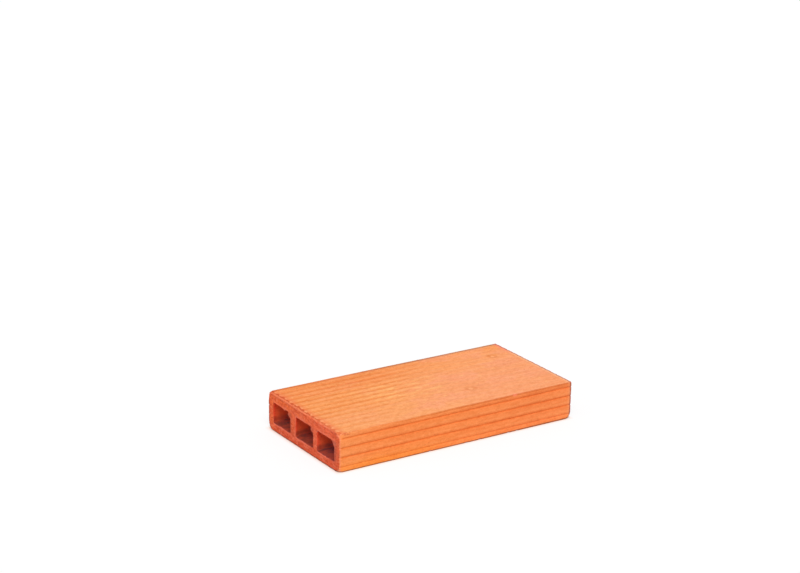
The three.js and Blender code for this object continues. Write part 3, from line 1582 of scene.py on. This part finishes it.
    facing_bed: tuple[float, float] = (0.6, 0.9)
    facing_end: tuple[float, float] = (0.3, 0.6)
    facing_up: tuple[float, float] = (0.4, 0.85)
    dark_back_facing: tuple[float, float] = (0.2, 0.6)
    bed_back_shares: tuple[float, float] = (0.9, 0.4)
    rib_top: tuple[float, float] = (0.45, 0.0)
    drag_line_reach: tuple[float, ...] = (0.0, 0.8, 3.4 * MM, 5.0 * MM)
    rim_steps: tuple[float, float] = (-1 * MM, 0.5 * MM)
    rim_beside: tuple[float, float] = (0.8, 0.3)
    rim_along: tuple[float, float] = (0.35, 1.0)
    rim_above: tuple[float, float] = (1.0, 0.5)
    turned_steps: tuple[float, float] = (1 * MM, -2 * MM)
    turned_reach: float = 5 * MM
    turned_share: float = 0.75
    scored_slant: float = 1.2
    lit_flank_share: float = 0.12
    pale_on_side: float = 0.3
    bare_share: float = 0.75
    dragged_share: float = 0.8
    ring_share: float = 0.55
    nub_share: float = 0.5
    lip_shade_share: float = 0.35
    edge_shade_share: float = 0.45
    fresh_share: float = 0.55

    wander_reach: float = 80 * MM
    fray_reach: float = 1.6 * MM
    grain_height: float = 0.22
    drag_height: float = 0.14
    torn_height: float = 0.8
    roughness: float = 0.9
    roughness_range: float = 0.08
    gloss: float = 0.2

    def dress(self, brick: bpy.types.Object, maker: ClayBrick) -> None:
        """Gives the brick its finish.

        Args:
            brick: The finished brick, with its marks.
            maker: What the brick was made to.
        """
        brick.data.materials.clear()
        brick.data.materials.append(ClayCoat(self, maker).build())


class ClayCoat(Wiring):
    """The coat of fired clay on one brick, face by face."""

    def __init__(self, clay: FiredClay, maker: ClayBrick) -> None:
        """Starts the coat's material.

        Args:
            clay: Its colours and patterns.
            maker: What the brick was made to.
        """
        super().__init__(bpy.data.materials.new(clay.name))
        self.clay = clay
        self.section = maker.section
        self.lie = Lie.read(self, maker)
        self.on_bed = self.ramp(self.math("ABSOLUTE", self.lie.up), *clay.facing_bed)
        self.groove = self.mark("groove")

    def build(self) -> bpy.types.Material:
        """Lays the colours over one another, then the grain.

        Returns:
            The finished material.
        """
        clay, lie = self.clay, self.lie
        in_cell = self.within(lie.from_skin, clay.cell_reach)
        fray = self.both(self.clouds(clay.end_fray), clay.fray_reach)
        torn = self.within(self.math("SUBTRACT", lie.from_end, fray), clay.torn_end_reach)
        at_end = self.both(torn, self.most(self.ramp(lie.endward, *clay.facing_end), self.rest(in_cell)))
        # The bed faces are paler and yellower than the sides: partly the clay's own tone, partly a painted
        # sheen from the lamp above.
        coat = self.weather(self.blend(self.on_bed, self.side_colour(), self.bed_colour()))
        # The cells' dark red is partly the clay's own colour, partly painted shade.
        coat = self.blend(in_cell, coat, self.cell_colour())
        # The cut ends are redder and darker than the skin: partly the torn clay's own colour, partly
        # painted shade.
        coat = self.blend(at_end, coat, self.end_colour())
        coat = self.blend(self.both(self.mark("fresh"), clay.fresh_share), coat, clay.end_pale)
        coat = self.darken_outer_edges(self.paint_corner_light_and_shade(coat))
        self.finish(coat, at_end)
        return self.owner

    def bed_colour(self) -> Socket:
        """Colours the bed faces: brighter in front, darker at the back, bloom at the far end. The darker
        back is partly the clay's own tone and partly a painted shadow as from a brick standing behind it.
        On the far half a painted highlight lifts the shaded flank of each groove.

        Returns:
            The socket of the colour.
        """
        clay, lie = self.clay, self.lie
        wander = self.math("SUBTRACT", self.clouds(clay.bed_wander), self.CLOUDS_MIDDLE)
        wander = self.both(wander, clay.wander_reach)
        x, y = self.math("ADD", lie.x, wander), self.math("ADD", lie.y, wander)
        far, at_back = self.within(x, clay.bed_far_length), self.within(y, clay.bed_back_width)
        ribs = self.blend(self.within(y, clay.bed_front_width), clay.bed, clay.bed_front)
        # Darker back: partly the clay's own tone, partly a painted shadow as from a brick standing behind
        # it, strongest at the near end.
        dull = self.both(at_back, self.ramp(far, 0, 1, *clay.bed_back_shares))
        ribs = self.blend(dull, ribs, clay.bed_back_tone_and_shade)
        ribs = self.blend(self.both(far, self.within(y, clay.bloom_width)), ribs, clay.bed_bloom)
        blush = self.both(self.show(clay.bed_blush), self.within(x, clay.blush_length))
        ribs = self.blend(blush, ribs, clay.bed_pink)
        stain = self.both(self.show(clay.bed_stain), at_back, self.within(x, clay.stain_length))
        ribs = self.blend(stain, ribs, clay.bed_ochre)
        ribs = self.deepen(self.show(clay.bed_streaks), ribs, clay.deeper)
        slant = self.math("SUBTRACT", lie.x, self.both(lie.y, clay.scored_slant))
        scored = self.both(
            self.groove,
            self.within(lie.y, clay.scored_width),
            self.within(slant, clay.scored_length),
            self.show(clay.groove_gaps),
        )
        ribs = self.deepen(scored, ribs, clay.scored)
        # Painted highlight on the flank of each bed groove that the lamp leaves in shade, strongest on the
        # far half.
        lit_flank = self.both(self.mark("flank"), self.within(lie.x, clay.lit_flank_length), clay.lit_flank_share)
        return self.blend(lit_flank, ribs, clay.bloom_and_painted_light)

    def side_colour(self) -> Socket:
        """Colours the narrow sides: yellower low down at the near end, dark groove lines, and a painted
        highlight along the rounded near edge.

        Returns:
            The socket of the colour.
        """
        clay, lie = self.clay, self.lie
        ribs = self.blend(self.within(lie.x, clay.side_far_length), clay.side, clay.side_far)
        low = self.both(self.within(lie.z, clay.yellow_height), self.within(lie.x, clay.yellow_length))
        ribs = self.blend(self.both(low, self.show(clay.side_patches)), ribs, clay.side_yellow)
        ribs = self.deepen(self.show(clay.side_streaks), ribs, clay.deeper)
        ribs = self.blend(self.within(lie.x, clay.side_light_length), ribs, clay.side_light)
        crest = self.within(self.math("ABSOLUTE", lie.over_groove), clay.crest_reach)
        ribs = self.blend(crest, ribs, clay.side_light)
        topmost = self.both(
            self.within(lie.from_top, clay.topmost_depth),
            self.within(lie.x, clay.topmost_length),
        )
        ribs = self.deepen(topmost, ribs, clay.scored)
        line = self.both(
            self.groove,
            self.within(lie.z, clay.side_line_height),
            self.within(lie.from_near, clay.side_line_from),
        )
        ribs = self.deepen(line, ribs, clay.scored)
        # Painted highlight along the rounded near edge of the narrow sides.
        return self.blend(self.within(lie.from_near, clay.near_edge_highlight_reach), ribs, clay.near_edge_highlight)

    def weather(self, skin: Socket) -> Socket:
        """Gives the skin its mottling, specks, lime and the dull lines along its edges.

        Args:
            skin: Plain colour of the skin.

        Returns:
            The socket of the weathered colour.
        """
        clay, lie = self.clay, self.lie
        mottle = self.both(self.show(clay.mottle), self.within(lie.x, clay.mottle_length))
        skin = self.deepen(mottle, skin, clay.deeper)
        skin = self.deepen(self.show(clay.freckles), skin, clay.deeper)
        spots = self.both(self.show(clay.broad_spots), self.within(lie.x, clay.spots_length))
        skin = self.lime_marks(self.deepen(spots, skin, clay.deeper))
        skin = self.blend(self.show(clay.specks), skin, clay.speck)
        # Darker along the upper arrises, more towards the far end.
        arris_dark = self.both(
            self.within(lie.from_arris, clay.arris_dark_reach),
            self.within(lie.x, clay.arris_dark_length),
        )
        skin = self.deepen(arris_dark, skin, clay.arris_dark)
        knocked = self.both(
            self.show(clay.knocks),
            self.within(lie.from_arris, clay.knocked_reach),
            self.within(lie.from_near, clay.knocked_end_reach),
        )
        skin = self.blend(knocked, skin, clay.speck)
        most_on_bed = self.ramp(self.on_bed, 0, 1, clay.pale_on_side, 1)
        pale = self.both(self.within(lie.from_far, clay.pale_reach), most_on_bed)
        skin = self.blend(pale, skin, clay.bloom_and_painted_light)
        bare = self.both(
            self.within(lie.y, clay.bare_width),
            self.within(lie.from_far, clay.bare_reach),
            clay.bare_share,
        )
        return self.drag(self.blend(bare, skin, clay.end_pale))

    def drag(self, skin: Socket) -> Socket:
        """Colours the near edge of the bed faces, where the wire dragged the clay over.

        Args:
            skin: Colour of the skin.

        Returns:
            The socket of the colour.
        """
        clay, lie = self.clay, self.lie
        from_near = self.math("ADD", lie.from_near, self.show(clay.ragged_edge))
        dragged = self.both(self.within(from_near, clay.dragged_reach), self.on_bed, clay.dragged_share)
        skin = self.blend(dragged, skin, clay.dragged)
        rib_end = self.both(
            self.within(from_near, clay.rib_end_from),
            self.within(from_near, clay.rib_end_to),
            self.ramp(self.groove, *clay.rib_top),
            self.on_bed,
            self.within(lie.y, clay.rib_end_width),
        )
        skin = self.blend(rib_end, skin, clay.rib_end)
        reach = self.ramp(self.groove, *clay.drag_line_reach)
        line = self.both(
            self.within(self.math("SUBTRACT", from_near, reach), clay.drag_line_to),
            self.within(from_near, clay.drag_line_from),
            self.within(lie.y, clay.drag_line_width),
            self.on_bed,
        )
        skin = self.blend(line, skin, clay.drag_line)
        # Pale lip along the near top edge: partly paler dragged clay, partly a painted highlight where it
        # catches the lamp.
        lip = self.both(self.within(lie.from_near, clay.lip_reach), self.on_bed, self.lip_share())
        return self.blend(lip, skin, clay.lip)

    def lip_share(self) -> Socket:
        """Tells how strongly the near top edge shows its pale lip, partly a painted highlight, and the
        painted shade under it: broken all along and least towards the front.
        """
        return self.both(self.show(self.clay.lip_gaps), self.within(self.lie.y, self.clay.lip_width))

    def lime_marks(self, skin: Socket) -> Socket:
        """Adds the yellowish lime dragged along the ribs and the craters that lime has raised.

        Args:
            skin: Colour of the skin.

        Returns:
            The socket of the colour with the lime on it.
        """
        clay, lie = self.clay, self.lie
        dashes = self.both(
            self.show(clay.lime_dashes),
            self.within(lie.x, clay.dashes_from),
            self.within(lie.x, clay.dashes_to),
            self.within(lie.y, clay.dashes_front),
            self.within(lie.y, clay.dashes_back),
            self.on_bed,
            self.rest(self.groove),
        )
        skin = self.blend(dashes, skin, clay.lime)
        skin = self.blend(self.both(self.show(clay.lime_flecks), self.on_bed), skin, clay.lime)
        skin = self.deepen(self.both(self.mark("ring"), clay.ring_share), skin, clay.deeper)
        return self.blend(self.both(self.mark("nub"), clay.nub_share), skin, clay.lime_nub)

    def end_colour(self) -> Socket:
        """Colours the torn clay of the cut ends, streaked across by the wire. The pale lip along the near
        top edge is partly its own paler clay and partly a painted highlight, and the crease under it
        carries painted shade.

        Returns:
            The socket of the colour.
        """
        clay, lie = self.clay, self.lie
        coat = self.blend(self.within(lie.y, clay.end_pink_width), clay.end, clay.end_pink)
        coat = self.blend(self.within(lie.z, clay.end_low_height), coat, clay.end_low)
        warm = self.both(self.within(lie.z, clay.end_warm_height), self.within(lie.y, clay.end_warm_width))
        coat = self.blend(warm, coat, clay.end_warm)
        coat = self.blend(self.within(lie.from_left, clay.end_warm_reach), coat, clay.end_warm)
        pale = self.both(self.show(clay.end_patches), self.within(lie.from_left, clay.end_pale_reach))
        coat = self.blend(pale, coat, clay.end_pale)
        coat = self.blend(self.show(clay.end_streaks), coat, clay.end_red)
        coat = self.blend(self.within(lie.from_right, clay.end_edge_reach), coat, clay.end_edge)
        coat = self.blend(self.show(clay.crumbs), coat, clay.end_pale)
        grit = self.both(self.show(clay.grit), self.within(lie.z, clay.grit_height))
        coat = self.deepen(grit, coat, clay.gritty)
        coat = self.deepen(self.within(lie.z, clay.foot_height), coat, clay.deeper)
        coat = self.paint_rim_light(self.deepen(self.show(clay.end_pits), coat, clay.deeper))
        share = self.lip_share()
        # Pale lip: partly paler dragged clay, partly a painted highlight.
        coat = self.blend(self.both(self.within(lie.from_top, clay.lip_depth), share), coat, clay.lip)
        # Painted shade in the crease under the lip.
        shade_under_lip = self.both(
            self.within(lie.from_top, clay.lip_shade_from),
            self.within(lie.from_top, clay.lip_shade_to),
            share,
            clay.lip_shade_share,
        )
        return self.deepen(shade_under_lip, coat, clay.deeper)

    def paint_rim_light(self, coat: Socket) -> Socket:
        """Paints a highlight on the lower and left rims of the mouths, which round over towards the lamp,
        and painted shade on the right rims, which turn away from it.

        Args:
            coat: Colour of the torn clay.

        Returns:
            The socket of the colour.
        """
        clay, in_row = self.clay, self.lie.in_row
        wide, tall = self.section.cell_width / 2, self.section.cell_height / 2
        level = self.math("SUBTRACT", self.lie.z, self.section.thickness / 2)
        across, beyond = self.math("ABSOLUTE", in_row), self.math("ABSOLUTE", level)
        # Painted shade on the right rims, which turn away from the lamp.
        right_rim_shade = self.both(
            self.ramp(in_row, -wide - clay.turned_reach, -wide),
            self.ramp(in_row, 0, -wide / 2),
            self.ramp(beyond, *(tall + step for step in clay.turned_steps)),
            clay.turned_share,
        )
        edge = self.most(self.math("SUBTRACT", across, wide), self.math("SUBTRACT", beyond, tall))
        # Painted highlight on the lower and left rims, which round over towards the lamp.
        around = self.both(
            self.within(edge, clay.rim_reach),
            self.ramp(across, *(wide + step for step in clay.rim_steps), *clay.rim_beside),
            self.ramp(in_row, -wide / 2, 0, *clay.rim_along),
            self.ramp(level, *(tall + step for step in clay.rim_steps), *clay.rim_above),
        )
        return self.deepen(right_rim_shade, self.blend(around, coat, clay.rim), clay.painted_shade_tint)

    def cell_colour(self) -> Socket:
        """Colours the cells: saturated red walls, paler further in, and ashen floors. The paler colour
        further in is painted light that stands in for light reaching deep into the cells.

        Returns:
            The socket of the colour.
        """
        clay, lie = self.clay, self.lie
        walls = self.blend(self.show(clay.cell_patches), clay.cell, clay.cell_deep)
        # Walls grow paler further in: painted light standing in for light that reaches deep into the cells.
        walls = self.blend(self.within(lie.from_end, clay.cell_inner_depth), walls, clay.cell_inner)
        contact_shadow_tint = self.both(self.show(clay.cell_grime), self.within(lie.from_end, clay.cell_grime_depth))
        walls = self.deepen(contact_shadow_tint, walls, clay.gritty)
        # Floors grow paler further in as well, with the same painted light.
        inward = self.within(lie.from_end, clay.ash_inner_depth)
        ash = self.blend(inward, clay.cell_ash, clay.cell_ash_inner)
        mauve = self.blend(inward, clay.cell_mauve, clay.cell_mauve_inner)
        ash = self.blend(self.within(lie.y, clay.mauve_width), ash, mauve)
        floor = self.most(self.ramp(lie.up, *clay.facing_up), self.within(lie.z, clay.ash_height))
        return self.blend(self.both(floor, self.show(clay.cell_stain)), walls, ash)

    def paint_corner_light_and_shade(self, coat: Socket) -> Socket:
        """Paints a highlight on the two knocked corners in front and painted shade on the cut edge behind
        the upper one.

        Args:
            coat: Colour of the clay.

        Returns:
            The socket of the colour.
        """
        clay, lie = self.clay, self.lie
        from_edge = self.math("ADD", lie.from_near, lie.from_right)
        from_corner = self.math("ADD", from_edge, lie.from_top)
        knocked = self.math("MINIMUM", from_corner, self.math("ADD", from_edge, lie.z))
        # Painted highlight on the rounded front corners of the near end.
        coat = self.blend(self.within(knocked, clay.corner_highlight_reach), coat, clay.bed_pink)
        # Painted shade on the near top edge behind the upper front corner.
        edge_shade = self.both(
            self.within(lie.from_top, clay.edge_shade_depth),
            self.within(lie.from_near, clay.edge_shade_reach),
            self.within(lie.y, clay.edge_shade_width),
            self.within(from_corner, clay.edge_shade_from),
            clay.edge_shade_share,
        )
        return self.deepen(edge_shade, coat, clay.painted_shade_tint)

    def darken_outer_edges(self, coat: Socket) -> Socket:
        """Darkens the outermost edges: along the back top edge, round the far end and low on the cut ends
        by the back edge. The lowest band all round carries a painted contact shadow, reaching a little
        higher towards the far end.

        Args:
            coat: Colour of the clay.

        Returns:
            The socket of the soiled colour.
        """
        clay, lie = self.clay, self.lie
        # Darker along the back top edge, round the far end and low on the cut ends by the back edge.
        back = self.both(
            self.within(lie.from_left, clay.dark_back_reach),
            self.ramp(lie.up, *clay.dark_back_facing),
            self.within(lie.x, clay.dark_back_length),
        )
        far = self.within(lie.from_far, clay.dark_far_reach)
        near = self.both(
            self.within(lie.from_left, clay.dark_near_reach),
            self.within(lie.z, clay.dark_near_height),
            lie.endward,
        )
        coat = self.deepen(self.most(back, far, near), coat, clay.outer_edge_tint)
        # Painted contact shadow along the lowest band of the brick, where it meets the floor, reaching a
        # little higher towards the far end.
        height = self.math("SUBTRACT", lie.z, self.within(lie.x, clay.contact_shadow_rise_length))
        return self.deepen(self.within(height, clay.contact_shadow_height), coat, clay.contact_shadow_tint)

    def finish(self, coat: Socket, at_end: Socket) -> None:
        """Joins colour, roughness and fine grain to the shader.

        Args:
            coat: Colour of the clay.
            at_end: 1 on the torn ends and 0 elsewhere.
        """
        clay = self.clay
        grain = self.clouds(clay.grain)
        relief = self.math("SUBTRACT", self.both(grain, clay.grain_height), self.show(clay.pinholes))
        torn = self.both(self.clouds(clay.torn_grain), clay.torn_height, at_end)
        dragged = self.both(self.clouds(clay.drag_grain), clay.drag_height)
        bump = self.add("ShaderNodeBump")
        self.feed(bump.inputs["Strength"], 1.0)
        self.feed(bump.inputs["Distance"], MM)
        self.feed(bump.inputs["Height"], self.math("ADD", relief, self.math("ADD", torn, dragged)))
        smoothest = clay.roughness - clay.roughness_range
        roughness = self.ramp(grain, clay.grain.start, clay.grain.stop, smoothest, clay.roughness)
        shader = self.add("ShaderNodeBsdfPrincipled")
        self.feed(shader.inputs["Base Color"], coat)
        self.feed(shader.inputs["Roughness"], roughness)
        self.feed(shader.inputs["Specular IOR Level"], clay.gloss)
        self.feed(shader.inputs["Normal"], bump.outputs[0])
        output = self.add("ShaderNodeOutputMaterial")
        self.feed(output.inputs["Surface"], shader.outputs[0])


@dataclass(frozen=True)
class Studio:
    """Plain white studio: a wide pale floor, an even surround and one large soft lamp."""

    footprint: tuple[float, float]
    floor_size: float = 14.0
    # Painted warm shade on the floor at the brick's foot.
    warm_contact_shade: Colour = shown(255, 244, 236)
    floor_bounce: float = 0.75
    floor_glow: float = 0.8
    contact: float = 4 * MM
    surround: float = 0.55
    lamp_direction: Triple = (-0.18, -0.33, 0.5)
    lamp_level: float = 0.63
    lamp_spread: float = 32.0

    def build(self) -> None:
        """Sets up the floor, the surround and the lamp."""
        self.lay_floor()
        self.light_surround()
        self.hang_lamp()
        bpy.context.scene.view_settings.view_transform = "Standard"

    @staticmethod
    def seen(wiring: Wiring, hidden: float, white: float) -> Socket:
        """Gives one level to plain light and another to what the eye, gloss and glass see.

        Args:
            wiring: The material or surround.
            hidden: Level for the light that reaches the object.
            white: Level that is looked at.

        Returns:
            The socket of the level.
        """
        path = wiring.add("ShaderNodeLightPath").outputs
        rays = ("Is Camera Ray", "Is Glossy Ray", "Is Transmission Ray")
        return wiring.ramp(wiring.most(*(path[ray] for ray in rays)), 0.0, 1.0, hidden, white)

    def lay_floor(self) -> None:
        """Lays a white floor that looks white where nothing shades it."""
        Bench.clear()
        bpy.ops.mesh.primitive_plane_add(size=self.floor_size)
        floor = Bench.settle("studio_floor")
        wiring = Wiring(bpy.data.materials.new("white_floor"))
        clear = self.clear_of_brick(wiring)
        # Painted warm shade on the floor at the brick's foot, standing in for contact shadow and bounce
        # light from the brick.
        contact_shaded = wiring.blend(clear, self.warm_contact_shade, self.seen(wiring, self.floor_bounce, 1.0))
        paint = wiring.feed_all(wiring.add("ShaderNodeBsdfDiffuse"), contact_shaded)
        glow = wiring.feed_all(wiring.add("ShaderNodeEmission"), (1, 1, 1, 1), 1.0)
        share = wiring.both(self.seen(wiring, 0.0, self.floor_glow), clear)
        surface = wiring.feed_all(wiring.add("ShaderNodeMixShader"), share, paint, glow)
        wiring.feed(wiring.add("ShaderNodeOutputMaterial").inputs["Surface"], surface)
        floor.data.materials.append(wiring.owner)

    def clear_of_brick(self, wiring: Wiring) -> Socket:
        """Reads how clear of the brick's footprint the floor is, so that the contact stays dark.

        Args:
            wiring: The floor's material.

        Returns:
            The socket, 0 under the brick's edge and 1 beyond the contact shadow.
        """
        place = wiring.place.outputs["Object"]
        place = wiring.feed_all(wiring.add("ShaderNodeVectorMath", operation="ABSOLUTE"), place)
        for operation, corner in (("SUBTRACT", (*self.footprint, 0.0)), ("MAXIMUM", (0.0, 0.0, 0.0))):
            place = wiring.feed_all(wiring.add("ShaderNodeVectorMath", operation=operation), place, corner)
        length = wiring.add("ShaderNodeVectorMath", operation="LENGTH")
        wiring.feed_all(length, place)
        return wiring.feed_all(wiring.add("ShaderNodeMapRange"), length.outputs["Value"], 0.0, self.contact)

    def light_surround(self) -> None:
        """Lights the scene evenly from all around, and shows white behind it."""
        wiring = Wiring(bpy.data.worlds.new("white_surround"))
        level = self.seen(wiring, self.surround, 1.0)
        glow = wiring.feed_all(wiring.add("ShaderNodeBackground"), (1, 1, 1, 1), level)
        wiring.feed(wiring.add("ShaderNodeOutputWorld").inputs["Surface"], glow)
        bpy.context.scene.world = wiring.owner

    def hang_lamp(self) -> None:
        """Hangs the wide soft lamp far off, above and in front, a little to the near end."""
        direction = Vector(self.lamp_direction).normalized()
        Bench.clear()
        bpy.ops.object.light_add(type="SUN", location=direction)
        lamp = bpy.context.object
        lamp.name = "soft_lamp"
        lamp.rotation_euler = direction.to_track_quat("Z", "Y").to_euler()
        lamp.data.angle = math.radians(self.lamp_spread)
        lamp.data.energy = self.lamp_level * math.pi


@dataclass(frozen=True)
class Viewpoint:
    """Where the camera stands: low, in front of a corner, with a long lens."""

    position: Triple = (-1.17850, -1.73886, 0.85045)
    azimuth: float = -33.486
    elevation: float = 18.534
    roll: float = 1.094
    lens: float = 99.82
    sensor: float = 36.0

    def set_camera(self) -> bpy.types.Object:
        """Places the camera.

        Returns:
            The camera, made the scene's own.
        """
        azimuth, elevation, roll = map(math.radians, (self.azimuth, self.elevation, self.roll))
        back = Vector((
            math.sin(azimuth) * math.cos(elevation),
            -math.cos(azimuth) * math.cos(elevation),
            math.sin(elevation),
        ))
        right = Vector((math.cos(azimuth), math.sin(azimuth), 0))
        turn = Matrix.Rotation(roll, 3, back)
        right, above = turn @ right, turn @ back.cross(right)
        Bench.clear()
        bpy.ops.object.camera_add()
        camera = bpy.context.object
        camera.name = "viewpoint"
        axes = Matrix((right, above, back)).transposed().to_4x4()
        camera.matrix_world = Matrix.Translation(self.position) @ axes
        camera.data.lens = self.lens
        camera.data.sensor_width = self.sensor
        bpy.context.scene.camera = camera
        return camera


def main() -> None:
    """Builds the brick, dresses it and sets up the studio around it."""
    logging.basicConfig(level=logging.INFO, format="%(name)s: %(message)s")
    low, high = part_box("brick")
    size = high - low
    section = Section(width=size.y, thickness=size.z)
    brick_maker = ClayBrick(length=size.x, section=section)
    brick = brick_maker.build()
    FiredClay().dress(brick, brick_maker)
    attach(brick, "root")
    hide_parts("brick")
    brick.data.calc_loop_triangles()
    log.info("%s: %d triangles", brick.name, len(brick.data.loop_triangles))
    Studio(footprint=(size.x / 2, size.y / 2)).build()
    log.info("studio: floor, surround and lamp")
    camera = Viewpoint().set_camera()
    log.info("%s: lens %.1f mm", camera.name, camera.data.lens)


if __name__ == "__main__":
    main()
